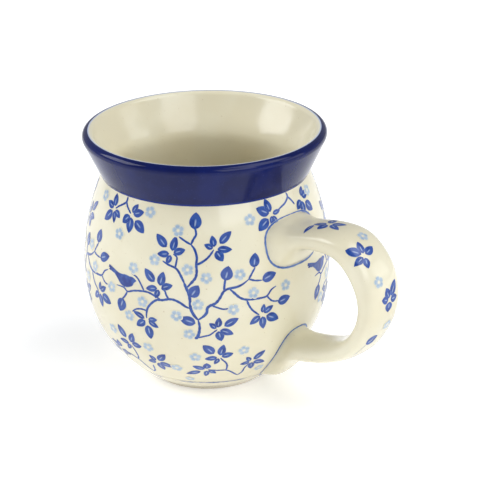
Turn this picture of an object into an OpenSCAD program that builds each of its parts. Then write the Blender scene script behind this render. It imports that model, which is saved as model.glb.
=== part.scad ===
// Belly-shaped stoneware mug: a turned body with a flared rim, a pulled strap
// handle luted on with slip, and the glazes that coat them.
// The axis of the body is Z, the foot rests on Z = 0 and the handle is on +X.

/* [Body] */
// Height of the mug from its foot to its lip
mug_h = 96; // [94:1:99]
// Diameter over the lip
lip_d = 90; // [88:1:93]
// Diameter of the neck, where the flared rim starts
neck_d = 76.6; // [74:0.2:78]
// Height of the neck
neck_z = 79.3; // [78:0.1:80]
// Diameter over the belly
belly_d = 91.4; // [91:0.2:92]
// Height of the widest part of the belly
belly_z = 44.5; // [43:0.5:46]
// Diameter of the foot where it rests
foot_d = 43; // [41:1:45]
// Thickness of the wall with its glaze
wall = 4.4; // [4:0.1:4.8]
// Height of the floor inside, above the resting plane
floor_z = 7; // [6.5:0.5:8]
// Width of the bare ring that the mug stands on
foot_ring_w = 4; // [3:0.5:5]
// Depth of the hollow inside the foot ring
recess_h = 2; // [1.5:0.5:2.5]

/* [Handle] */
// How square the handle's cross-section is: 2 is an ellipse
squareness = 2.6; // [2:0.1:3.5]
// Corners of the handle's cross-section
section_corners = 28; // [16:4:32]
// Cross-sections between two stations of the handle
steps = 3; // [2:1:4]

/* [Glaze] */
// Thickness of each coat of glaze
glaze = 0.3; // [0.2:0.05:0.5]
// Height above the foot where the outer glaze stops
bare_foot_h = 2.4; // [1.5:0.1:4]

/* [Hidden] */
$fn = 96;

curve_steps = 14;               // points along each curve of the outline
lip_r = wall / 2;               // the lip is a full round across the wall
lip = [lip_d / 2 - lip_r, mug_h - lip_r];
neck = [neck_d / 2, neck_z];
belly_r = belly_d / 2;
foot_r = foot_d / 2;
bore_r = belly_r - wall;        // inside radius at the belly
throat = [neck.x - wall * 0.92, neck_z + 1];
ring_r = foot_r - foot_ring_w;  // inner edge of the bare foot ring

// The flared rim is a straight cone from the neck, tangent to the round of the lip.
flare = lip - neck;
flare_angle = atan2(flare.y, flare.x) - asin(lip_r / norm(flare));

// Stations round the handle from the upper root to the lower one, each
// [x and z of the outer edge, x and z of the finger-side edge, half the width].
stations = [
    [38.0, 71.6, 42.4, 53.0, 12.6],     // bedded in the belly's wall
    [42.3, 70.9, 45.8, 55.0, 12.0],     // edge of the upper joint
    [47.5, 69.9, 50.2, 61.5, 9.8],
    [60.0, 71.9, 60.3, 63.2, 9.6],      // top of the arch
    [72.4, 70.7, 68.0, 61.6, 9.6],
    [82.1, 61.8, 73.5, 56.1, 9.5],
    [85.1, 50.1, 76.9, 48.9, 9.3],      // farthest from the body
    [82.6, 38.7, 76.1, 40.6, 9.0],
    [74.2, 26.4, 70.1, 32.1, 9.0],
    [60.2, 20.0, 59.7, 27.2, 8.9],
    [46.5, 16.8, 49.6, 25.6, 8.5],
    [40.2, 11.2, 45.2, 26.4, 7.4],
    [34.5, 6.4, 42.5, 27.6, 7.0],       // edge of the lower joint
    [22.0, 3.6, 38.0, 29.8, 7.4]        // bedded in the belly's wall
];
last_station = len(stations) - 1;
upper_joint_end = 2;
lower_joint_start = last_station - 3;
root_offset = -1.4;             // the upper root was luted on a little to one side,
lower_root_offset = 1.2;        // the lower one a little to the other

function bezier(a, b, c, d, n) = [for (i = [0 : n]) let (t = i / n, s = 1 - t)
    s * s * s * a + 3 * s * s * t * b + 3 * s * t * t * c + t * t * t * d];

function arc(centre, r, from, to, n) = [for (i = [0 : n]) let (a = from + (to - from) * i / n)
    centre + r * [cos(a), sin(a)]];

function reversed(path) = [for (i = [len(path) - 1 : -1 : 0]) path[i]];

function without_first(path) = [for (i = [1 : len(path) - 1]) path[i]];

// A path moved sideways by d, to the left of its direction
function shifted(path, d) = [for (i = [0 : len(path) - 1])
    let (v = path[min(i + 1, len(path) - 1)] - path[max(i - 1, 0)])
    path[i] + d * [-v.y, v.x] / norm(v)];

// Outside of the belly from the foot up to the neck
belly = concat(
    bezier([foot_r, 0], [foot_r + 14, 11], [belly_r, belly_z - 23.5], [belly_r, belly_z], curve_steps),
    without_first(bezier([belly_r, belly_z], [belly_r, belly_z + 13.5],
        [neck.x + 3.6, neck_z - 8], neck, curve_steps)));

// Inside of the mug from the lip down to the middle of the floor
lip_inner_edge = lip + lip_r * [cos(flare_angle + 90), sin(flare_angle + 90)];
lining = concat(
    bezier(lip_inner_edge, lip_inner_edge - 8 * [cos(flare_angle), sin(flare_angle)],
        throat + [0, 4], throat, curve_steps),
    without_first(bezier(throat, throat - [0, 6], [bore_r, belly_z + 15],
        [bore_r, belly_z], curve_steps)),
    without_first(bezier([bore_r, belly_z], [bore_r, belly_z - 26],
        [25, floor_z], [0, floor_z], curve_steps)));

belly_clay = shifted(belly, glaze);
lining_clay = shifted(lining, glaze);
glazed_belly = [for (p = belly) if (p.y > bare_foot_h) p];
glazed_belly_clay = [for (i = [0 : len(belly) - 1]) if (belly[i].y > bare_foot_h)
    belly_clay[i]];

// The outside of the flared rim and of the lip, depth below their finished surface
function rim_start(depth) = neck + depth * [cos(flare_angle + 90), sin(flare_angle + 90)];
function lip_outside(depth) = arc(lip, lip_r - depth, flare_angle - 90, 90, 8);
function lip_inside(depth) = arc(lip, lip_r - depth, 90, flare_angle + 90, 6);

module turned(outline) rotate_extrude() polygon(outline);

// Everything inside the belly's surface, depth below its finished face
module belly_solid(depth) turned(concat([[0, 0]], shifted(belly, depth), [[0, neck_z]]));

function power(v) = sign(v) * pow(abs(v), 2 / squareness);

function between(a, b, c, d, t) = 0.5 * (2 * b + (c - a) * t + (2 * a - 5 * b + 4 * c - d) * t * t
    + (3 * b - a - 3 * c + d) * t * t * t);

function station(u) = let (i = min(floor(u), last_station - 1))
    between(stations[max(i - 1, 0)], stations[i], stations[i + 1],
        stations[min(i + 2, last_station)], u - i);

// One cross-section of the handle, thicker all round by grow
function section(u, grow) = let (
    s = station(u),
    y = root_offset * max(0, 1 - u / upper_joint_end)
        + lower_root_offset * max(0, u - lower_joint_start) / 2,
    middle = [s[0] + s[2], s[1] + s[3]] / 2,
    half = [s[0] - s[2], s[1] - s[3]] / 2,
    along = half * (1 + grow / norm(half)))
    [for (k = [0 : section_corners - 1]) let (a = 360 * k / section_corners,
        p = middle + along * power(cos(a))) [p.x, y + (s[4] + grow) * power(sin(a)), p.y]];

// The handle from station u0 to station u1
module strap(u0, u1, grow) {
    rings = round((u1 - u0) * steps);
    n = section_corners;
    polyhedron(
        points = [for (r = [0 : rings]) each section(u0 + (u1 - u0) * r / rings, grow)],
        faces = concat(
            [[for (k = [n - 1 : -1 : 0]) k]],
            [[for (k = [0 : n - 1]) rings * n + k]],
            [for (r = [0 : rings - 1], k = [0 : n - 1]) let (a = r * n + k, b = r * n + (k + 1) % n)
                each [[a, b, a + n], [b, b + n, a + n]]]));
}

module vessel() {
    color([0.85, 0.80, 0.70])
    turned(concat(
        [[0, recess_h], [ring_r - 1, recess_h], [ring_r, 0], [foot_r - 1, 0]],
        without_first(belly_clay), [rim_start(glaze)], lip_outside(glaze),
        without_first(lip_inside(glaze)), without_first(lining_clay)));
}

module handle() {
    color([0.87, 0.83, 0.74])
    strap(upper_joint_end, lower_joint_start, 0);
}

module upper_slip_joint() {
    color([0.80, 0.75, 0.66])
    difference() {
        strap(0, upper_joint_end, 0);
        belly_solid(glaze);
    }
}

module lower_slip_joint() {
    color([0.80, 0.75, 0.66])
    difference() {
        strap(lower_joint_start, last_station, 0);
        belly_solid(glaze);
    }
}

module rim_glaze() {
    color([0.08, 0.10, 0.33])
    turned(concat(
        [neck], lip_outside(0), reversed(lip_outside(glaze)),
        [rim_start(glaze), belly_clay[len(belly) - 1]]));
}

module liner_glaze() {
    color([0.88, 0.85, 0.76])
    turned(concat(
        lip_inside(0), without_first(lining),
        reversed(without_first(lining_clay)), reversed(lip_inside(glaze))));
}

module outer_glaze() {
    color([0.95, 0.93, 0.87])
    difference() {
        turned(concat(glazed_belly, reversed(glazed_belly_clay)));
        strap(0, upper_joint_end, 0);
        strap(lower_joint_start, last_station, 0);
    }
}

module base_glaze() {
    color([0.92, 0.90, 0.84])
    translate([0, 0, recess_h - glaze]) cylinder(h = glaze, r = ring_r - 1.5);
}

module handle_glaze() {
    color([0.96, 0.94, 0.88])
    difference() {
        strap(0, last_station, glaze);
        strap(0, last_station, 0);
        belly_solid(0);
    }
}

vessel();
handle();
upper_slip_joint();
lower_slip_joint();
rim_glaze();
liner_glaze();
outer_glaze();
base_glaze();
handle_glaze();
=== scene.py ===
import math
import random
from bisect import bisect_right

import bmesh
import bpy
from mathutils import Matrix, Vector


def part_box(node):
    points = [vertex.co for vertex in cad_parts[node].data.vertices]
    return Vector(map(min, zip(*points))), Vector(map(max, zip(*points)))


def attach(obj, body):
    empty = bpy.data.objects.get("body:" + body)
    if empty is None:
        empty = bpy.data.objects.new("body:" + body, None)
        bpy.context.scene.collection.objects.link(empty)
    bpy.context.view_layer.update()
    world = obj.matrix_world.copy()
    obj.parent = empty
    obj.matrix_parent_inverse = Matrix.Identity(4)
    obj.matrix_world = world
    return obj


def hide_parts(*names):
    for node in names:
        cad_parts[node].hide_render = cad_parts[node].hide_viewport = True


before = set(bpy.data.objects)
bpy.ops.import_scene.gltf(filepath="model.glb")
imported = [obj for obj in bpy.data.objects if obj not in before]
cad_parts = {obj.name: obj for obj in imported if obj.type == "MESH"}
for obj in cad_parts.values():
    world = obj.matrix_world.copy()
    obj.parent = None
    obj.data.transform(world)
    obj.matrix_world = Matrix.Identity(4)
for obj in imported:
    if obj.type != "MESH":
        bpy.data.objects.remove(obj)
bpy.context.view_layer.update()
bpy.ops.object.select_all(action="DESELECT")
random.seed(7)
mm = 0.001

# ---------------------------------------------------------------------------------------------
# The body is stoneware clay jiggered in a mould: a round belly on a small foot, a narrow neck
# and a flared rim. Under the glazes only its foot ring stays bare, sanded after the firing.

glaze_t = 0.3 * mm
wall_t = 4.4 * mm
turning_steps = 216
lip_round = wall_t / 2
rim_low, rim_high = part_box("rim_glaze")
foot = Vector((21.5, 0)) * mm
lip = Vector((rim_high.x - lip_round, rim_high.z - lip_round))
neck = Vector((38.3 * mm, rim_low.z))
equator = Vector((45.7, 44.5)) * mm
bore = equator - Vector((wall_t, 0))
throat = neck + Vector((-4.05, 1)) * mm
floor_z = 7 * mm
recess_z = 2 * mm
ring_inner_r = 17.5 * mm
bare_foot_z = 2.4 * mm
foot_edge = 0.8 * mm     # the round on both edges of the foot ring
coat_overlap = 1.2       # how much thicker a coat is than the gap it fills, so that none shows


def bezier(a, b, c, d, steps):
    points = []
    for i in range(steps + 1):
        t = i / steps
        s = 1 - t
        points.append(s ** 3 * a + 3 * s * s * t * b + 3 * s * t * t * c + t ** 3 * d)
    return points


def arc(centre, radius, start, end, steps):
    angles = [math.radians(start + (end - start) * i / steps) for i in range(steps + 1)]
    return [centre + radius * Vector((math.cos(a), math.sin(a))) for a in angles]


def shifted(path, depth):
    """The path moved to the left of its own direction."""
    moved = []
    for i, point in enumerate(path):
        along = path[min(i + 1, len(path) - 1)] - path[max(i - 1, 0)]
        moved.append(point + depth * Vector((-along.y, along.x)).normalized())
    return moved


def heading(degrees):
    return Vector((math.cos(math.radians(degrees)), math.sin(math.radians(degrees))))


flare = lip - neck
flare_angle = math.degrees(math.atan2(flare.y, flare.x) - math.asin(lip_round / flare.length))
belly = bezier(foot, foot + Vector((14, 11)) * mm, equator - Vector((0, 23.5)) * mm, equator, 44)
belly += bezier(equator, equator + Vector((0, 13.5)) * mm, neck + Vector((3.6, -8)) * mm, neck, 36)[1:]
lip_inner = lip + lip_round * heading(flare_angle + 90)
lining = bezier(lip_inner, lip_inner - 8 * mm * heading(flare_angle),
                throat + Vector((0, 4)) * mm, throat, 20)
lining += bezier(throat, throat - Vector((0, 6)) * mm, bore + Vector((0, 15)) * mm, bore, 24)[1:]
lining += bezier(bore, bore - Vector((0, 26)) * mm, Vector((25 * mm, floor_z)),
                 Vector((0, floor_z)), 40)[1:]


def rim_start(depth):
    return neck + depth * heading(flare_angle + 90)


def lip_outside(depth):
    return arc(lip, lip_round - depth, flare_angle - 90, 90, 18)


def lip_inside(depth):
    return arc(lip, lip_round - depth, 90, flare_angle + 90, 10)


def turned(name, outline):
    """A closed outline in the XZ plane, spun once round the mug's axis."""
    bpy.ops.mesh.primitive_circle_add(vertices=len(outline), radius=equator.x)
    piece = bpy.context.object
    piece.name = piece.data.name = name
    for vertex, point in zip(piece.data.vertices, outline):
        vertex.co = (point.x, 0, point.y)
    bpy.ops.object.mode_set(mode="EDIT")
    bpy.ops.mesh.select_all(action="SELECT")
    bpy.ops.mesh.spin(steps=turning_steps, angle=math.tau, center=(0, 0, 0), axis=(0, 0, 1))
    bpy.ops.mesh.select_all(action="SELECT")
    bpy.ops.mesh.remove_doubles(threshold=2e-6)
    bpy.ops.mesh.select_all(action="SELECT")
    bpy.ops.mesh.delete_loose(use_verts=True, use_edges=True, use_faces=False)
    bpy.ops.mesh.select_all(action="SELECT")
    bpy.ops.mesh.normals_make_consistent(inside=False)
    bpy.ops.object.mode_set(mode="OBJECT")
    bpy.ops.object.shade_smooth_by_angle(angle=math.radians(38))
    piece.select_set(False)
    return piece


def add_node(tree, kind, inputs, **settings):
    """A shader node, its settings, and its inputs as values or as other nodes' outputs."""
    node = tree.nodes.new("ShaderNode" + kind)
    for setting, value in settings.items():
        setattr(node, setting, value)
    for key, value in inputs.items():
        if isinstance(value, bpy.types.NodeSocket):
            tree.links.new(value, node.inputs[key])
        else:
            node.inputs[key].default_value = value
    return node


def blended(tree, factor, a, b):
    return add_node(tree, "Mix", {0: factor, 6: a, 7: b}, data_type="RGBA").outputs[2]


def ramped(tree, value, start, end, low=0.0, high=1.0):
    """How far value has gone from start to end, as a soft step from low to high."""
    return add_node(tree, "MapRange", {0: value, 1: start, 2: end, 3: low, 4: high},
                    interpolation_type="SMOOTHSTEP").outputs[0]


def noise(tree, place, scale, detail):
    return add_node(tree, "TexNoise", {"Vector": place, "Scale": scale, "Detail": detail}).outputs[0]


def calculated(tree, operation, a, b=0.5):
    return add_node(tree, "Math", {0: a, 1: b}, operation=operation).outputs[0]


def tint(red, green, blue):
    """A colour as the eye gives it, 0 to 255, in the linear numbers that a shader takes."""
    return tuple(((c / 255 + 0.055) / 1.055) ** 2.4 for c in (red, green, blue)) + (1.0,)


def new_finish(name):
    material = bpy.data.materials.new(name)
    material.use_nodes = True
    return material, material.node_tree, material.node_tree.nodes["Principled BSDF"]


def finished(piece, slot, material, *nodes):
    piece.data.materials.clear()
    piece.data.materials.append(material)
    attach(piece, "root")
    if nodes:
        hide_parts(*nodes)


foot_ring = arc(Vector((ring_inner_r, foot_edge)), foot_edge, 200, 270, 6)
foot_ring += arc(foot + Vector((-0.7 * mm, foot_edge)), foot_edge, 270, 310, 5)
body = turned("turned_body", [Vector((0, recess_z)), Vector((ring_inner_r - 1.6 * mm, recess_z))]
              + foot_ring + shifted(belly, glaze_t)[3:] + [rim_start(glaze_t)]
              + lip_outside(glaze_t) + lip_inside(glaze_t)[1:] + shifted(lining, glaze_t)[1:])

clay_finish, tree, shader = new_finish("bare_clay")
place = tree.nodes.new("ShaderNodeTexCoord").outputs["Object"]
grog = noise(tree, place, 1400, 6)
patch = noise(tree, place, 60, 3)
clay_colour = blended(tree, ramped(tree, grog, 0.35, 0.7), tint(208, 202, 186), tint(190, 182, 162))
clay_colour = blended(tree, ramped(tree, patch, 0.45, 0.75), clay_colour, tint(216, 209, 194))
tree.links.new(clay_colour, shader.inputs["Base Color"])
tree.links.new(ramped(tree, grog, 0.2, 0.8, 0.78, 0.95), shader.inputs["Roughness"])
grain = add_node(tree, "Bump", {"Height": grog, "Strength": 0.35, "Distance": 0.15 * mm})
tree.links.new(grain.outputs[0], shader.inputs["Normal"])
finished(body, "fired_clay", clay_finish, "vessel")

# ---------------------------------------------------------------------------------------------
# The handle is a strap of clay with rounded corners, pressed and bent while soft. Its ends are
# luted to the belly with slip and smoothed out into an oval pad above and a long foot below.

section_corners = 28
squareness = 2.6
rings_a_station = 3
bedding = 1.5 * mm
# Stations from the upper root to the lower one, in mm: x and z of the outer edge, x and z of
# the finger side, and half the width.
stations = [Vector(station) * mm for station in (
    (38.0, 71.6, 42.4, 53.0, 12.6),
    (42.3, 70.9, 45.8, 55.0, 12.0),
    (47.5, 69.9, 50.2, 61.5, 9.8),
    (60.0, 71.9, 60.3, 63.2, 9.6),
    (72.4, 70.7, 68.0, 61.6, 9.6),
    (82.1, 61.8, 73.5, 56.1, 9.5),
    (85.1, 50.1, 76.9, 48.9, 9.3),
    (82.6, 38.7, 76.1, 40.6, 9.0),
    (74.2, 26.4, 70.1, 32.1, 9.0),
    (60.2, 20.0, 59.7, 27.2, 8.9),
    (46.5, 16.8, 49.6, 25.6, 8.5),
    (40.2, 11.2, 45.2, 26.4, 7.4),
    (34.5, 6.4, 42.5, 27.6, 7.0),
    (22.0, 3.6, 38.0, 29.8, 7.4))]
last_station = len(stations) - 1
upper_joint_end = 2
lower_joint_start = last_station - 3
root_offset = -1.4 * mm
lower_root_offset = 1.2 * mm
belly_heights = [point.y for point in belly]


def read_off(value, keys, values):
    i = min(max(bisect_right(keys, value), 1), len(keys) - 1)
    t = (value - keys[i - 1]) / (keys[i] - keys[i - 1])
    return values[i - 1] + (values[i] - values[i - 1]) * t


def between(a, b, c, d, t):
    return 0.5 * (2 * b + (c - a) * t + (2 * a - 5 * b + 4 * c - d) * t * t
                  + (3 * b - a - 3 * c + d) * t ** 3)


def through(points, u):
    """A smooth line through points, u counted in points."""
    last = len(points) - 1
    i = min(max(int(u), 0), last - 1)
    return between(points[max(i - 1, 0)], points[i], points[i + 1], points[min(i + 2, last)], u - i)


def strap_point(u, angle, grow):
    """A point of the handle's surface: station, angle round the section, growth outwards."""
    s = through(stations, u)
    middle = Vector((s[0] + s[2], s[1] + s[3])) / 2
    half = Vector((s[0] - s[2], s[1] - s[3])) / 2
    power = 2 / squareness
    thick = math.copysign(abs(math.cos(angle)) ** power, math.cos(angle))
    wide = math.copysign(abs(math.sin(angle)) ** power, math.sin(angle))
    point = middle + half * (1 + grow / half.length) * thick
    offset = root_offset * max(0, 1 - u / upper_joint_end)
    offset += lower_root_offset * max(0, u - lower_joint_start) / 2
    return Vector((point.x, offset + (s[4] + grow) * wide, point.y))


def depth_in_belly(point):
    return read_off(point.z, belly_heights, belly).x - math.hypot(point.x, point.y)


def bedded(point):
    """The point, kept from going through the belly's wall to the inside."""
    depth = depth_in_belly(point)
    if depth > bedding and point.x < equator.x:
        r = math.hypot(point.x, point.y)
        point = Vector((point.x * (r + depth - bedding) / r, point.y * (r + depth - bedding) / r, point.z))
    return point


def pulled_strap(name, first, last, grow, capped):
    """A ring of clay extruded from station to station."""
    bpy.ops.mesh.primitive_circle_add(vertices=section_corners, radius=9 * mm)
    piece = bpy.context.object
    piece.name = piece.data.name = name
    bpy.ops.object.mode_set(mode="EDIT")
    rings = round((last - first) * rings_a_station)
    for ring in range(rings + 1):
        if ring:
            bpy.ops.mesh.extrude_region_move()
        shape = bmesh.from_edit_mesh(piece.data)
        u = first + (last - first) * ring / rings
        front = sorted((v for v in shape.verts if v.select), key=lambda v: v.index)
        for vertex in front:
            corner = vertex.index % section_corners
            vertex.co = bedded(strap_point(u, math.tau * corner / section_corners, grow))
        bmesh.update_edit_mesh(piece.data)
    if capped:
        bpy.ops.mesh.select_all(action="DESELECT")
        bpy.ops.mesh.select_non_manifold()
        bpy.ops.mesh.edge_face_add()
    bpy.ops.mesh.select_all(action="SELECT")
    bpy.ops.mesh.normals_make_consistent(inside=False)
    bpy.ops.object.mode_set(mode="OBJECT")
    return piece


def smoothed(piece, levels, thickness=0):
    rounding = piece.modifiers.new("rounding", "SUBSURF")
    rounding.levels = rounding.render_levels = levels
    bpy.ops.object.modifier_apply(modifier=rounding.name)
    if thickness:
        coat = piece.modifiers.new("coat", "SOLIDIFY")
        coat.thickness = thickness
        coat.offset = -1
        bpy.ops.object.modifier_apply(modifier=coat.name)
    bpy.ops.object.shade_smooth_by_angle(angle=math.radians(50))
    piece.select_set(False)
    return piece


handle = smoothed(pulled_strap("strap_handle", upper_joint_end, lower_joint_start, 0, True), 1)
finished(handle, "fired_clay", clay_finish, "handle")
upper_root = smoothed(pulled_strap("upper_root", 0, upper_joint_end, 0, True), 1)
finished(upper_root, "fired_slip", clay_finish, "upper_slip_joint")
lower_root = smoothed(pulled_strap("lower_root", lower_joint_start, last_station, 0, True), 1)
finished(lower_root, "fired_slip", clay_finish, "lower_slip_joint")

# ---------------------------------------------------------------------------------------------
# The clear glaze is a thin glassy coat that the mug is dipped in over its painting. It looks
# cream from the clay beneath, with faint clouds and the fine ripple of a fired glaze.

cream_group = bpy.data.node_groups.new("cream_under_glaze", "ShaderNodeTree")
for socket, kind in (("Color", "NodeSocketColor"), ("Roughness", "NodeSocketFloat"),
                     ("Normal", "NodeSocketVector")):
    cream_group.interface.new_socket(socket, in_out="OUTPUT", socket_type=kind)
place = cream_group.nodes.new("ShaderNodeTexCoord").outputs["Object"]
cloud = noise(cream_group, place, 38, 3)
fleck = noise(cream_group, place, 1100, 2)
ripple = noise(cream_group, place, 170, 2)
cream = blended(cream_group, ramped(cream_group, cloud, 0.35, 0.65),
                tint(229, 224, 200), tint(224, 217, 190))
cream = blended(cream_group, ramped(cream_group, fleck, 0.70, 0.80), cream, tint(196, 182, 150))
skin = add_node(cream_group, "Bump", {"Height": ripple, "Strength": 0.12, "Distance": 0.1 * mm})
outlet = cream_group.nodes.new("NodeGroupOutput")
cream_group.links.new(cream, outlet.inputs["Color"])
cream_group.links.new(ramped(cream_group, cloud, 0.3, 0.7, 0.12, 0.18), outlet.inputs["Roughness"])
cream_group.links.new(skin.outputs[0], outlet.inputs["Normal"])


def glossy_finish(name):
    """A clear-glazed finish, and the cream that its painting is laid on."""
    material, tree, shader = new_finish(name)
    ground = tree.nodes.new("ShaderNodeGroup")
    ground.node_tree = cream_group
    tree.links.new(ground.outputs["Color"], shader.inputs["Base Color"])
    tree.links.new(ground.outputs["Roughness"], shader.inputs["Roughness"])
    tree.links.new(ground.outputs["Normal"], shader.inputs["Normal"])
    return material, tree, shader, ground.outputs["Color"]


clear_finish, tree, shader, ground = glossy_finish("clear_glaze")
outer_coat = turned("outer_glaze_coat", [p for p in belly if p.y > bare_foot_z]
                    + [p for p in shifted(belly, glaze_t * coat_overlap)[::-1]
                       if p.y > bare_foot_z - 0.1 * mm])
finished(outer_coat, "clear_glaze", clear_finish, "outer_glaze")
base_coat = turned("base_glaze_coat", [Vector((0, 1.65)) * mm, Vector((13.5, 1.7)) * mm]
                   + arc(Vector((15.4, 1.85)) * mm, 0.2 * mm, -90, 60, 5) + [Vector((0, 2.05)) * mm])
finished(base_coat, "clear_glaze", clear_finish, "base_glaze")
handle_coat = smoothed(pulled_strap("handle_glaze_coat", 0, last_station, glaze_t, False), 2,
                       glaze_t * coat_overlap)
finished(handle_coat, "clear_glaze", clear_finish, "handle_glaze")

# ---------------------------------------------------------------------------------------------
# The mug is lined with the same clear glaze, painted darker and warmer towards the bottom as
# shade. The flared rim is dipped in cobalt glaze, which thins to a pale blue edge on the crest of the lip
# and meets the lining.

lining_finish, tree, shader, ground = glossy_finish("liner_glaze")
place = tree.nodes.new("ShaderNodeTexCoord").outputs["Object"]
axes = add_node(tree, "SeparateXYZ", {0: place})
# Painted shade: the lining is darkened and warmed from 80 mm high down to the inside's floor.
inside_painted_shade = ramped(tree, axes.outputs["Z"], 0.08, 0.01, 0.0, 0.8)
inside_cream_with_painted_shade = blended(tree, inside_painted_shade, ground, tint(196, 182, 144))
crest = ramped(tree, axes.outputs["Z"], 95.9 * mm, 96.0 * mm, 0.0, 0.8)
tree.links.new(blended(tree, crest, inside_cream_with_painted_shade, tint(188, 198, 220)), shader.inputs["Base Color"])
liner_coat = turned("liner_glaze_coat", lip_inside(0) + lining[1:]
                    + shifted(lining, glaze_t)[:0:-1] + lip_inside(glaze_t)[::-1])
finished(liner_coat, "liner_glaze", lining_finish, "liner_glaze")

cobalt_finish, tree, shader = new_finish("cobalt_glaze")
place = tree.nodes.new("ShaderNodeTexCoord").outputs["Object"]
axes = add_node(tree, "SeparateXYZ", {0: place})
depth = noise(tree, place, 90, 4)
speck = noise(tree, place, 1500, 2)
cobalt = blended(tree, ramped(tree, depth, 0.35, 0.7), tint(9, 20, 74), tint(14, 27, 88))
cobalt = blended(tree, ramped(tree, speck, 0.62, 0.8, 0.0, 0.4), cobalt, tint(44, 58, 132))
radius = add_node(tree, "VectorMath", {0: add_node(tree, "CombineXYZ", {
    0: axes.outputs["X"], 1: axes.outputs["Y"]}).outputs[0]}, operation="LENGTH").outputs["Value"]
crest_r, crest_z = 42.9 * mm, 95.45 * mm
thin = calculated(tree, "MULTIPLY", ramped(tree, radius, crest_r + 0.15 * mm, crest_r - 0.15 * mm),
                  ramped(tree, axes.outputs["Z"], crest_z - 0.25 * mm, crest_z + 0.25 * mm))
edge = ramped(tree, axes.outputs["Z"], rim_low.z + 1.1 * mm, rim_low.z + 0.3 * mm, 0.0, 0.8)
cobalt = blended(tree, edge, cobalt, tint(26, 50, 136))
tree.links.new(blended(tree, thin, cobalt, tint(150, 166, 204)), shader.inputs["Base Color"])
shader.inputs["Specular IOR Level"].default_value = 0.22
tree.links.new(ramped(tree, depth, 0.3, 0.7, 0.07, 0.12), shader.inputs["Roughness"])
ripple = noise(tree, place, 150, 2)
skin = add_node(tree, "Bump", {"Height": ripple, "Strength": 0.1, "Distance": 0.1 * mm})
tree.links.new(skin.outputs[0], shader.inputs["Normal"])
rim_coat = turned("rim_glaze_coat", [neck] + lip_outside(0) + lip_outside(glaze_t)[::-1]
                  + [rim_start(glaze_t), shifted(belly, glaze_t)[-1]])
finished(rim_coat, "cobalt_glaze", cobalt_finish, "rim_glaze")

# ---------------------------------------------------------------------------------------------
# The twigs are brushed under the glaze in blue: a little tree with forking branches, repeated
# four times round the belly, with hanging forks under the neck and running sprigs near the foot.

climb = [0.0]
for a, b in zip(belly, belly[1:]):
    climb.append(climb[-1] + (b - a).length)
blossom_lift, twig_lift, leaf_lift, bird_lift = 0.04 * mm, 0.06 * mm, 0.085 * mm, 0.1 * mm
paint_t = 0.05 * mm


def on_belly(azimuth, height, right, up, lift):
    """A point lift above the glaze, right and up along it from an azimuth and a height in mm."""
    way = read_off(height * mm, belly_heights, climb) + up
    point = read_off(way, climb, belly)
    ahead = read_off(way + 0.3 * mm, climb, belly) - read_off(way - 0.3 * mm, climb, belly)
    point = point + lift * Vector((ahead.y, -ahead.x)).normalized()
    turn = math.radians(azimuth) + right / point.x
    return Vector((point.x * math.cos(turn), point.x * math.sin(turn), point.y))


def on_paper(azimuth, height, right, up, lift):
    """The same place on the flat transfer, where x is the azimuth, y the height and z the lift."""
    way = read_off(height * mm, belly_heights, climb) + up
    point = read_off(way, climb, belly)
    return Vector((azimuth + math.degrees(right / point.x), point.y / mm, lift))


def chart_scale(where, point):
    """How many metres one unit of each of the two coordinates is at a point of the surface."""
    where = on_belly if where is on_paper else where
    here = where(point[0], point[1], 0, 0, 0)
    return (max((where(point[0] + 0.1, point[1], 0, 0, 0) - here).length * 10, 1e-5),
            max((where(point[0], point[1] + 0.1, 0, 0, 0) - here).length * 10, 1e-5))


def strip(steps, across):
    bpy.ops.mesh.primitive_grid_add(x_subdivisions=steps, y_subdivisions=across, size=1)
    return bpy.context.object


def brushed(where, points, start_half, end_half, lift=twig_lift, steps_a_point=3):
    """A brush stroke through points, its UV map running along it and across it."""
    points = [Vector(point) for point in points]
    last = len(points) - 1
    piece = strip(max(4, steps_a_point * last), 2)
    for vertex in piece.data.vertices:
        t = vertex.co.x + 0.5
        side = vertex.co.y * 2
        point = through(points, t * last)
        run = through(points, t * last + 0.05) - through(points, t * last - 0.05)
        scale = chart_scale(where, point)
        run = Vector((run.x * scale[0], run.y * scale[1])).normalized()
        half = (0.1 + start_half + (end_half - start_half) * t) * mm
        half *= 0.45 + 0.55 * min(1, 8 * min(t, 1 - t))
        half *= 1 + 0.12 * math.sin(9 * t * last + points[0].x)
        vertex.co = where(point[0], point[1], -run.y * side * half, run.x * side * half, lift)
    piece.select_set(False)
    return piece


def gathered(name, pieces):
    """The pieces joined to one under a name."""
    for piece in pieces:
        piece.select_set(True)
    bpy.context.view_layer.objects.active = pieces[0]
    bpy.ops.object.join()
    joined = bpy.context.object
    joined.name = joined.data.name = name
    joined.select_set(False)
    return joined


def transferred(paper, places):
    """Copies of a flat transfer, each rubbed onto the belly at its turn in degrees and tilted."""
    copies = []
    for turn, tilt in places:
        copy = paper.copy()
        copy.data = paper.data.copy()
        bpy.context.collection.objects.link(copy)
        for vertex in copy.data.vertices:
            azimuth, height, lift = vertex.co
            vertex.co = on_belly(azimuth + turn, height + tilt * (azimuth + 53), 0, 0, lift)
        copies.append(copy)
    bpy.data.objects.remove(paper)
    return copies


def laid_on(name, pieces, slot, material):
    """The pieces as one thin layer of paint, closed all round."""
    layer = gathered(name, pieces)
    bpy.context.view_layer.objects.active = layer
    layer.select_set(True)
    film = layer.modifiers.new("film", "SOLIDIFY")
    film.thickness = paint_t
    film.offset = -1
    bpy.ops.object.modifier_apply(modifier=film.name)
    bpy.ops.object.shade_smooth_by_angle(angle=math.radians(40))
    layer.select_set(False)
    finished(layer, slot, material)


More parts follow.
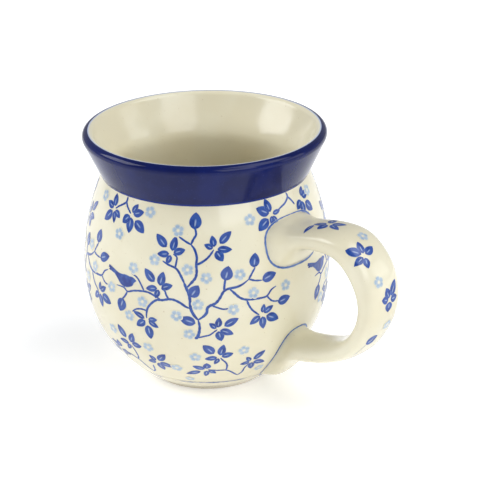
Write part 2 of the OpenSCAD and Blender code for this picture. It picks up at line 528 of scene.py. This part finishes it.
# Each transfer's turns round the mug in degrees, with its tilt in mm of height for a degree.
tree_places = ((0, 0), (-85, 0.09), (-170, -0.03), (-255, 0.04))
rim_places = ((0, 0), (-85, 0), (-170, 0))
places_by_handle = ((0, 0),)
sprig_places = ((0, 0), (-110, 0.02), (-220, -0.02))
short_sprig_places = ((-55, 0), (-165, 0), (-275, 0))
tree_twigs = [
    ([(-54.4, 30.6), (-53.2, 31.4), (-52.3, 33.5), (-52, 36), (-52.6, 38.5)], 0.6, 0.32),
    ([(-52.6, 38.5), (-54.5, 40.5), (-55.8, 43), (-56, 46), (-56.5, 48.5), (-57.8, 51),
      (-58.8, 53)], 0.5, 0.45),
    ([(-58.5, 52.5), (-60, 55), (-61.5, 57), (-63, 58), (-66, 58.8), (-69, 60)], 0.42, 0.25),
    ([(-62.8, 58), (-62.3, 60), (-62.1, 61.8), (-63.9, 62.8)], 0.3, 0.2),
    ([(-57.5, 50.8), (-55, 53), (-53.3, 54.8), (-52.8, 57), (-53, 59.5), (-52.7, 62), (-53.8, 64.8),
      (-55.5, 66.4)], 0.42, 0.35),
    ([(-55.5, 66.4), (-54.3, 68.3), (-53, 70), (-53.8, 72.5)], 0.34, 0.3),
    ([(-55.5, 66.4), (-58.5, 67.6), (-61.5, 69)], 0.32, 0.26),
    ([(-53, 59.3), (-51, 60), (-48.5, 61.2), (-46.4, 62.8), (-44.7, 64.6)], 0.4, 0.24),
    ([(-56, 43), (-58, 43.6), (-60.5, 45), (-63.5, 46), (-66, 46), (-69, 45.4), (-71.5, 45.2), (-74, 43.8),
      (-76.3, 41.5), (-77.2, 39), (-77.3, 37.2)], 0.4, 0.32),
    ([(-77, 40.2), (-79.5, 40.5), (-82.5, 40), (-85, 38.6)], 0.28, 0.2),
    ([(-65.8, 46), (-67, 47.6), (-67.6, 49), (-69.3, 49.8)], 0.34, 0.2),
    ([(-69.5, 45.4), (-72.5, 46.6), (-76, 47.6), (-80, 47.5), (-84, 46.9), (-87.3, 46), (-89.5, 47.2),
      (-94, 47.2)], 0.34, 0.2),
    ([(-87.3, 46), (-88.8, 44), (-91, 42.2)], 0.3, 0.25),
    ([(-78, 47.8), (-80, 50.5), (-82, 52.4), (-85.2, 53.4)], 0.3, 0.2),
    ([(-52.6, 38.5), (-50, 40), (-48.6, 41.5), (-48.3, 43.2), (-46.8, 44.2), (-44.5, 45), (-42.5, 47),
      (-40.8, 49.3), (-38.5, 50.2), (-35, 50.5), (-32, 51.3), (-29, 52.8)], 0.5, 0.34),
    ([(-46.5, 44.2), (-43, 43), (-41, 42.5), (-38.8, 42.6)], 0.26, 0.2),
    ([(-40.6, 49.6), (-40.3, 52), (-39.8, 54)], 0.38, 0.3),
    ([(-29, 52.8), (-27.3, 54.8), (-25.5, 56.8)], 0.32, 0.25),
    ([(-29, 52.9), (-26, 52), (-22.5, 51.6)], 0.3, 0.2),
    ([(-38.2, 50.2), (-36, 48.4), (-33.5, 46.4), (-30.5, 45.3), (-26, 45), (-21.5, 45), (-19.8, 45.6),
      (-18, 47.3), (-15.4, 48.2)], 0.4, 0.24),
    ([(-20.4, 45.3), (-18.3, 43.3), (-16.3, 42.5), (-14, 42.3)], 0.26, 0.2),
    ([(-30.3, 45.2), (-29.3, 43), (-27.8, 41), (-26, 39.6), (-24.2, 38.4)], 0.34, 0.24),
    ([(-53.2, 31), (-50, 31.7), (-47.5, 32.2), (-45.6, 33.4), (-43.9, 34.4)], 0.28, 0.18)]
rim_twigs = [
    ([(-94.5, 79.1), (-94.6, 77.3), (-96.8, 76.1), (-99.4, 75), (-101.6, 73.8)], 0.36, 0.22),
    ([(-94.6, 77.4), (-93.2, 76), (-91.6, 75), (-89.8, 74)], 0.32, 0.22)]
twigs_by_handle = [
    ([(0.5, 79.1), (0.8, 77.6), (-2.2, 76), (-5.4, 75.2), (-8.6, 74.4)], 0.36, 0.22),
    ([(0.8, 77.6), (2.8, 76), (4.4, 74.2)], 0.32, 0.26)]
sprig_twigs = [
    ([(-48.8, 15.3), (-44, 14.7), (-40.5, 14.6), (-38.3, 14.4), (-35, 13), (-32.5, 11.5),
      (-30, 10.3)], 0.3, 0.26),
    ([(-38.5, 14.6), (-38.3, 17), (-39.3, 18.8), (-41.0, 20.2), (-42.2, 21.4)], 0.3, 0.22),
    ([(-30.3, 10.3), (-28, 12), (-27.6, 14.3), (-25.6, 16.8)], 0.28, 0.2)]
short_sprig_twigs = [
    ([(-46.5, 17.6), (-41, 17), (-36.2, 15.2), (-33.6, 11.8), (-31.6, 9.8)], 0.28, 0.26),
    ([(-36.8, 15.6), (-35.0, 17.6), (-34.9, 20), (-35.8, 22.6)], 0.28, 0.2),
    ([(-31.8, 9.8), (-28.8, 11.4), (-27, 14.6)], 0.28, 0.24)]


def twigs(name, strokes):
    return gathered(name, [brushed(on_paper, *stroke) for stroke in strokes])


def stroke_places(tree):
    """How far along a stroke, how far from its middle line (1 at its edge), and the place itself."""
    coordinates = tree.nodes.new("ShaderNodeTexCoord").outputs
    run = add_node(tree, "SeparateXYZ", {0: coordinates["UV"]}).outputs
    side = add_node(tree, "Math", {0: run["Y"], 1: 2.0, 2: -1.0}, operation="MULTIPLY_ADD").outputs[0]
    return run["X"], calculated(tree, "ABSOLUTE", side), coordinates["Object"]


brush_finish, tree, shader, ground = glossy_finish("brushed_blue")
along, edge, place = stroke_places(tree)
dab = noise(tree, place, 420, 3)
blue = blended(tree, ramped(tree, dab, 0.35, 0.65), tint(26, 60, 140), tint(46, 84, 162))
fringe = blended(tree, ramped(tree, edge, 0.7, 1.0, 0.0, 0.6), blue, tint(150, 170, 202))
tree.links.new(fringe, shader.inputs["Base Color"])
all_twigs = transferred(twigs("twigs", tree_twigs), tree_places)
all_twigs += transferred(twigs("rim_twigs", rim_twigs), rim_places)
all_twigs += transferred(twigs("twigs_by_handle", twigs_by_handle), places_by_handle)
all_twigs += transferred(twigs("sprig_twigs", sprig_twigs), sprig_places)
all_twigs += transferred(twigs("short_sprig_twigs", short_sprig_twigs), short_sprig_places)

# ---------------------------------------------------------------------------------------------
# The leaves are dabbed in the same blue, each with a light vein left open down its middle. They
# sit five or six to a spray, with single buds and leaves at the twigs' ends.


def leaf(where, azimuth, height, reach, angle, length, width):
    """A pointed leaf whose tip is reach mm from a place at an angle, with its length and width."""
    piece = strip(9, 6)
    run = heading(angle)
    across = Vector((-run.y, run.x))
    bend = random.uniform(-0.1, 0.1) * length
    fullness = random.uniform(0.92, 1.06)
    for vertex in piece.data.vertices:
        t = vertex.co.x + 0.5
        side = vertex.co.y * 2
        half = width / 2 * fullness * max(math.sin(math.pi * t ** 0.8), 0) ** 0.74 + 0.04
        spot = run * (reach - length + length * t) + across * (side * half + bend * (t - 0.4) ** 2)
        vertex.co = where(azimuth, height, spot.x * mm, spot.y * mm, leaf_lift)
    piece.select_set(False)
    return piece


# Sprays of leaves: how far each tip is from the middle in mm, its angle, and the leaf's width.
rising_spray = ((8.8, 133, 3.0), (6.5, 77, 2.6), (5.3, 19, 2.4), (4.3, 248, 1.8), (5.4, 189, 2.2))
leaning_spray = ((4.0, 137, 1.9), (4.9, 82, 2.3), (8.6, 28, 2.7), (6.3, -23, 2.3), (5.4, -74, 2.8))
low_spray = ((5.8, 216, 2.4), (4.0, 78, 1.6), (5.2, 30, 2.0), (7.9, -27, 3.0), (6.3, -83, 2.6))
drooping_spray = ((6.0, 157, 2.0), (5.9, 217, 2.5), (8.3, 275, 3.0), (4.3, 9, 1.7), (5.2, -31, 1.9))
left_hanging_spray = ((5.2, 161, 2.4), (5.6, 101, 2.3), (7.3, 230, 3.0), (5.2, 286, 1.9), (4.6, -30, 2.0))
right_hanging_spray = ((4.7, 64, 2.0), (5.6, 20, 2.5), (8.8, -38, 3.2), (6.8, 272, 2.8), (5.2, 226, 2.7))
handle_side_spray = ((6.2, 104, 2.6), (6.6, 150, 3.1), (8.0, 215, 3.4), (3.8, 259, 1.5), (4.6, -62, 1.6),
                     (4.2, 10, 1.6))
running_spray = ((4.0, 129, 1.7), (4.3, 193, 1.9), (6.9, 49, 2.6), (6.6, -21, 2.2), (5.6, -78, 2.4))
trailing_spray = ((5.8, 156, 2.1), (8.6, 206, 2.4), (4.3, 90, 2.4), (4.4, -43, 1.8), (5.2, 264, 1.9))


def spray(where, azimuth, height, leaves, turn=0):
    return [leaf(where, azimuth, height, reach, angle + turn, min(reach * 0.84, 5.9), width * 1.18)
            for reach, angle, width in leaves]


def to_tip(azimuth, height, tip_azimuth, tip_height, width):
    """A single leaf from a twig's end to its tip."""
    across, up = chart_scale(on_paper, (azimuth, height))
    run = Vector(((tip_azimuth - azimuth) * across, (tip_height - height) * up)) / mm
    angle = math.degrees(math.atan2(run.y, run.x))
    return leaf(on_paper, azimuth, height, run.length, angle, run.length, width)


tree_leaves = spray(on_paper, -64.8, 62.9, rising_spray) + spray(on_paper, -70.3, 49.8, rising_spray)
tree_leaves += spray(on_paper, -43.8, 34.5, leaning_spray) + spray(on_paper, -44.3, 64.8, leaning_spray, 17)
tree_leaves += spray(on_paper, -22.8, 38.5, low_spray) + spray(on_paper, -77.3, 36.6, drooping_spray)
for single in ((-53.8, 71.6, -52.9, 77.4, 4.6), (-55.8, 47.4, -52.0, 51.8, 4.2),
               (-53.8, 37.2, -61.2, 39.0, 3.9), (-40.0, 53.3, -38.0, 58.5, 4.3),
               (-26.1, 56.8, -24.9, 62.0, 3.9), (-22.4, 51.6, -15.1, 53.4, 3.7),
               (-90.0, 42.7, -92.8, 37.2, 4.1)):
    tree_leaves.append(to_tip(*single))
rim_leaves = spray(on_paper, -102.2, 73.6, left_hanging_spray)
rim_leaves += spray(on_paper, -89.3, 73.8, right_hanging_spray)
leaves_by_handle = spray(on_paper, -12.8, 73.7, handle_side_spray)
leaves_by_handle += spray(on_paper, 11.2, 75, right_hanging_spray, -10)
leaves_by_handle.append(to_tip(-14.6, 41.7, -7.5, 42.5, 3.6))
sprig_leaves = spray(on_paper, -42.8, 21.8, rising_spray) + spray(on_paper, -24.8, 17.6, running_spray)
sprig_leaves += spray(on_paper, -49.3, 15.3, trailing_spray)
short_sprig_leaves = spray(on_paper, -36.0, 23.4, rising_spray, -15)
short_sprig_leaves += spray(on_paper, -22.2, 17.5, running_spray)
short_sprig_leaves += spray(on_paper, -47.5, 18.5, trailing_spray)
all_leaves = transferred(gathered("leaves", tree_leaves), tree_places)
all_leaves += transferred(gathered("rim_leaves", rim_leaves), rim_places)
all_leaves += transferred(gathered("leaves_by_handle", leaves_by_handle), places_by_handle)
all_leaves += transferred(gathered("sprig_leaves", sprig_leaves), sprig_places)
all_leaves += transferred(gathered("short_sprig_leaves", short_sprig_leaves), short_sprig_places)

leaf_finish, tree, shader, ground = glossy_finish("leaf_blue")
along, edge, place = stroke_places(tree)
dab = noise(tree, place, 520, 4)
wash = noise(tree, place, 130, 2)
blue = blended(tree, ramped(tree, dab, 0.3, 0.65), tint(20, 52, 130), tint(44, 84, 162))
blue = blended(tree, ramped(tree, wash, 0.42, 0.62, 0.0, 0.6), blue, tint(64, 88, 162))
vein = calculated(tree, "MULTIPLY", ramped(tree, edge, 0.2, 0.04), ramped(tree, along, 0.12, 0.28))
vein = calculated(tree, "MULTIPLY", vein, ramped(tree, along, 0.66, 0.45, 0.0, 0.8))
blue = blended(tree, vein, blue, tint(158, 178, 208))
fringe = blended(tree, ramped(tree, edge, 0.86, 1.0, 0.0, 0.55), blue, tint(130, 156, 200))
tree.links.new(fringe, shader.inputs["Base Color"])

# ---------------------------------------------------------------------------------------------
# The blossoms are pale washes of the blue, five soft petals round an open cream middle.


def blossom(where, azimuth, height, across=5.1):
    piece = strip(40, 4)
    turn = random.uniform(0, math.tau)
    for vertex in piece.data.vertices:
        angle = math.tau * (vertex.co.x + 0.5)
        t = vertex.co.y + 0.5
        petal = 0.74 + 0.26 * abs(math.cos(2.5 * angle)) ** 0.6
        spot = heading(math.degrees(angle + turn)) * (across / 2 * petal * t)
        vertex.co = where(azimuth, height, spot.x * mm, spot.y * mm, blossom_lift)
    bpy.ops.object.mode_set(mode="EDIT")
    bpy.ops.mesh.select_all(action="SELECT")
    bpy.ops.mesh.remove_doubles(threshold=1e-6)
    bpy.ops.object.mode_set(mode="OBJECT")
    piece.select_set(False)
    return piece


def blossoms(name, spots):
    return gathered(name, [blossom(on_paper, *spot) for spot in spots])


tree_blossoms = ((-84, 55.5), (-79, 43.5), (-87, 36.5), (-62, 71), (-73, 60), (-57, 57.5), (-48.5, 54.5),
                 (-52.5, 44.5), (-62.5, 39.8), (-57, 32.5), (-36.5, 42), (-33, 55), (-27, 47.5))
rim_blossoms = ((-95, 66), (-78, 76), (-114, 76))
sprig_blossoms = ((-55, 22), (-66.5, 15.5), (-30.5, 24), (-61, 9, 4.2), (-17, 12.5, 4.6))
short_sprig_blossoms = ((-46.5, 27.5), (-24.5, 24.2))
blossoms_by_handle = ((-25.5, 73.5), (20, 76), (-10, 47.5))
far_blossoms = ((-12.5, 41.9),)
all_blossoms = transferred(blossoms("blossoms", tree_blossoms), tree_places)
all_blossoms += transferred(blossoms("rim_blossoms", rim_blossoms), rim_places)
all_blossoms += transferred(blossoms("blossoms_by_handle", blossoms_by_handle), places_by_handle)
all_blossoms += transferred(blossoms("far_blossoms", far_blossoms), tree_places[1:])
all_blossoms += transferred(blossoms("sprig_blossoms", sprig_blossoms), sprig_places)
all_blossoms += transferred(blossoms("short_sprig_blossoms", short_sprig_blossoms), short_sprig_places)

blossom_finish, tree, shader, ground = glossy_finish("blossom_wash")
place = tree.nodes.new("ShaderNodeTexCoord")
petal = add_node(tree, "SeparateXYZ", {0: place.outputs["UV"]})
wash = noise(tree, place.outputs["Object"], 480, 3)
pale = blended(tree, ramped(tree, wash, 0.3, 0.7), tint(134, 164, 198), tint(172, 192, 212))
ring = calculated(tree, "MULTIPLY", ramped(tree, petal.outputs["Y"], 0.12, 0.4),
                  ramped(tree, petal.outputs["Y"], 1.0, 0.68))
cleft = calculated(tree, "ABSOLUTE", calculated(tree, "COSINE", calculated(
    tree, "MULTIPLY", petal.outputs["X"], math.pi * 5)))
ring = calculated(tree, "MULTIPLY", ring, ramped(tree, cleft, 0.0, 0.5, 0.6, 0.9))
tree.links.new(blended(tree, ring, ground, pale), shader.inputs["Base Color"])

# ---------------------------------------------------------------------------------------------
# A little bird sits in each tree, painted as one dark blue shape: tail, round body, head, beak.


def bird():
    spine = [Vector(p) for p in ((-99.6, 53.4), (-96.5, 52.6), (-93.2, 51.2), (-89.6, 50.0), (-86.3, 50.1),
                                 (-84.2, 50.8), (-82.2, 50.9))]
    halves = (0.55, 0.6, 1.1, 2.35, 2.1, 1.3, 0.08)
    piece = strip(24, 6)
    for vertex in piece.data.vertices:
        t = (vertex.co.x + 0.5) * (len(spine) - 1)
        point = through(spine, t)
        run = through(spine, t + 0.05) - through(spine, t - 0.05)
        across, up = chart_scale(on_belly, point)
        run = Vector((run.x * across, run.y * up)).normalized()
        half = max(through(halves, t), 0.06) * mm * vertex.co.y * 2
        vertex.co = on_paper(point.x, point.y, -run.y * half, run.x * half, bird_lift)
    piece.select_set(False)
    leg_and_tail = [brushed(on_paper, ((-88.9, 48.4), (-89.2, 47.3)), 0.2, 0.16),
                    brushed(on_paper, ((-99.4, 52.3), (-97.4, 52.2), (-95.5, 51.7)), 0.3, 0.35, bird_lift)]
    return gathered("bird", [piece] + leg_and_tail)


bird_finish, tree, shader, ground = glossy_finish("bird_blue")
along, edge, place = stroke_places(tree)
plumage = noise(tree, place, 360, 4)
feather = blended(tree, ramped(tree, plumage, 0.35, 0.65), tint(28, 54, 132), tint(50, 84, 160))
tree.links.new(blended(tree, ramped(tree, edge, 0.82, 1.0, 0.0, 0.5), feather, tint(120, 148, 196)),
               shader.inputs["Base Color"])
laid_on("painted_birds", transferred(bird(), tree_places), "underglaze_blue", bird_finish)

# ---------------------------------------------------------------------------------------------
# The handle's outer face carries three loose sprays, a leaf and a few blossoms. A soft blue line
# is drawn round each root of the handle, where it is luted to the belly.


def on_handle(station, sideways, right, up, lift):
    """A point of the handle's outer face: station, mm to the right of its middle, and offsets."""
    pitch = (strap_point(min(station + 0.2, last_station), 0, 0) - strap_point(station, 0, 0)).length / 0.2
    u = station - up / pitch
    half = through(stations, u)[4] + glaze_t
    wide = max(-0.995, min(0.995, (sideways * mm + right) / half))
    angle = math.copysign(math.asin(abs(wide) ** (squareness / 2)), wide)
    low, high = strap_point(u - 0.02, angle, 0), strap_point(u + 0.02, angle, 0)
    side = strap_point(u, angle + 0.02, 0) - strap_point(u, angle - 0.02, 0)
    out = side.cross(low - high).normalized()
    if out.dot(strap_point(u, 0, 0) - strap_point(u, math.pi, 0)) < 0:
        out = -out
    return strap_point(u, angle, glaze_t) + lift * out


def pressed_on(piece, lift):
    """The painted piece, drawn down onto the handle's glaze."""
    bpy.context.view_layer.objects.active = piece
    piece.select_set(True)
    press = piece.modifiers.new("press", "SHRINKWRAP")
    press.target = handle_coat
    press.wrap_mode = "ABOVE_SURFACE"
    press.offset = lift
    bpy.ops.object.modifier_apply(modifier=press.name)
    piece.select_set(False)
    return piece


arch_spray = ((6.6, 20, 2.6), (6.2, -62, 2.6), (5.6, 108, 2.4), (5.4, 168, 2.8), (6.6, 246, 2.2))
bend_spray = ((7.0, 127, 3.2), (6.0, 75, 2.3), (6.2, 15, 2.8), (4.9, -104, 2.2), (4.9, 198, 2.5))
outer_spray = ((7.6, 54, 3.0), (4.8, 108, 2.6), (4.2, 166, 2.6), (4.8, 0, 2.7), (4.7, 266, 3.1))
handle_leaves = spray(on_handle, 2.93, -0.3, arch_spray) + spray(on_handle, 4.56, -4.7, bend_spray)
handle_leaves += spray(on_handle, 6.06, 0.9, outer_spray)
handle_leaves.append(leaf(on_handle, 7.36, -2.6, 2.6, 38, 5.4, 5.0))
handle_leaves.append(leaf(on_handle, 2.55, -5.2, 3.2, 176, 5.6, 2.2))
handle_twigs = [brushed(on_handle, ((7.42, -3.9), (7.62, -5.2), (7.92, -6.2)), 0.3, 0.22)]
handle_blossoms = [blossom(on_handle, *spot) for spot in ((4.05, 1.3), (5.4, -3.6), (7.0, 3))]
all_leaves += [pressed_on(piece, leaf_lift) for piece in handle_leaves]
all_twigs += [pressed_on(piece, twig_lift) for piece in handle_twigs]
all_blossoms += [pressed_on(piece, blossom_lift) for piece in handle_blossoms]
laid_on("painted_twigs", all_twigs, "underglaze_blue", brush_finish)
laid_on("painted_leaves", all_leaves, "underglaze_blue", leaf_finish)
laid_on("painted_blossoms", all_blossoms, "underglaze_pale_blue", blossom_finish)


def root_edge(inner, outer):
    """The line where the handle's glaze meets the belly's, as azimuths and heights."""
    line = []
    for corner in range(section_corners * 2 + 1):
        angle = math.tau * corner / (section_corners * 2)
        deep, clear = inner, outer
        for _ in range(24):
            u = (deep + clear) / 2
            if depth_in_belly(strap_point(u, angle, glaze_t)) > 0:
                deep = u
            else:
                clear = u
        point = strap_point(deep, angle, glaze_t)
        clear_of_it = strap_point(deep, angle, glaze_t + 0.35 * mm)
        line.append((math.degrees(math.atan2(clear_of_it.y, point.x)), clear_of_it.z / mm))
    return line


outlines = [brushed(on_belly, root_edge(0, upper_joint_end), 0.36, 0.36, bird_lift, 2),
            brushed(on_belly, root_edge(last_station, lower_joint_start), 0.36, 0.36, bird_lift, 2)]
outline_finish, tree, shader, ground = glossy_finish("outline_blue")
along, edge, place = stroke_places(tree)
dab = noise(tree, place, 260, 4)
blue = blended(tree, ramped(tree, dab, 0.35, 0.65), tint(56, 92, 164), tint(96, 126, 184))
tree.links.new(blended(tree, ramped(tree, edge, 0.62, 1.0, 0.0, 0.8), blue, ground),
               shader.inputs["Base Color"])
laid_on("root_outlines", outlines, "underglaze_blue", outline_finish)

# ---------------------------------------------------------------------------------------------
# A thin greyish blue line is banded round the belly just above the foot, worn and broken.

base_line_z = 6.3
band_line = brushed(on_belly, [(azimuth, base_line_z) for azimuth in range(0, 361, 5)], 0.9, 0.9)
line_finish, tree, shader, ground = glossy_finish("base_line_blue")
along, edge, place = stroke_places(tree)
worn = noise(tree, place, 90, 4)
line_blue = blended(tree, ramped(tree, worn, 0.3, 0.6), tint(70, 84, 138), tint(104, 118, 160))
shown = calculated(tree, "MULTIPLY", ramped(tree, edge, 1.0, 0.5), ramped(tree, worn, 0.66, 0.5))
tree.links.new(blended(tree, shown, ground, line_blue), shader.inputs["Base Color"])
laid_on("base_line", [band_line], "underglaze_pale_blue", line_finish)

# ---------------------------------------------------------------------------------------------
# Stage: a plain pale table, soft studio light, and a camera a little above the mug's lip.

bpy.ops.mesh.primitive_plane_add(size=6, location=(0, 0, 0))
table = bpy.context.object
table.name = "table"
table.select_set(False)
table_finish, tree, shader = new_finish("pale_table")
place = tree.nodes.new("ShaderNodeTexCoord").outputs["Object"]
haze = noise(tree, place, 3, 2)
tree.links.new(blended(tree, haze, tint(247, 247, 247), tint(250, 250, 250)), shader.inputs["Base Color"])
shader.inputs["Emission Color"].default_value = (1.0, 1.0, 1.0, 1.0)
shader.inputs["Emission Strength"].default_value = 0.3
shader.inputs["Roughness"].default_value = 0.9
shader.inputs["Specular IOR Level"].default_value = 0.2
table.data.materials.append(table_finish)

world = bpy.data.worlds.new("studio")
bpy.context.scene.world = world
world.use_nodes = True
sky = world.node_tree
backdrop = sky.nodes["Background"]
place = sky.nodes.new("ShaderNodeTexCoord").outputs["Generated"]
rise = add_node(sky, "SeparateXYZ", {0: place}).outputs["Z"]
daylight = blended(sky, ramped(sky, rise, 0.0, 0.8), tint(255, 255, 255), tint(186, 190, 196))
sky.links.new(daylight, backdrop.inputs["Color"])
backdrop.inputs["Strength"].default_value = 0.46


def soft_box(name, place, size, power):
    data = bpy.data.lights.new(name, "AREA")
    data.shape = "RECTANGLE"
    data.size, data.size_y = size
    data.energy = power
    light = bpy.data.objects.new(name, data)
    bpy.context.collection.objects.link(light)
    light.location = place
    light.rotation_euler = (Vector((0, 0, 0.05)) - Vector(place)).to_track_quat("-Z", "Y").to_euler()


soft_box("key_box", (-0.95, -0.75, 0.85), (1.0, 0.8), 12)
soft_box("fill_box", (1.15, -0.35, 0.8), (0.8, 0.8), 5.5)
soft_box("top_box", (0.7, 0.35, 1.25), (1.0, 1.0), 8.5)
soft_box("side_box", (0.9, 0.75, 0.4), (0.6, 0.5), 1.5)

camera_data = bpy.data.cameras.new("camera")
camera = bpy.data.objects.new("camera", camera_data)
bpy.context.collection.objects.link(camera)
camera_data.sensor_width = 36
camera_data.lens = 186
azimuth, elevation, roll = math.radians(42.16), math.radians(21.87), math.radians(1.254)
aim_right, aim_up = math.radians(0.758), math.radians(0.305)
distance = 0.9273
sight = Vector((0, 0, 46 * mm))
back = Vector((math.sin(azimuth) * math.cos(elevation), -math.cos(azimuth) * math.cos(elevation),
               math.sin(elevation)))
turn = back.to_track_quat("Z", "Y").to_matrix().to_4x4()
turn = turn @ Matrix.Rotation(-roll, 4, "Z") @ Matrix.Rotation(-aim_right, 4, "Y")
turn = turn @ Matrix.Rotation(aim_up, 4, "X")
camera.matrix_world = Matrix.Translation(sight + distance * back) @ turn
bpy.context.scene.camera = camera
bpy.context.scene.view_settings.view_transform = "Standard"
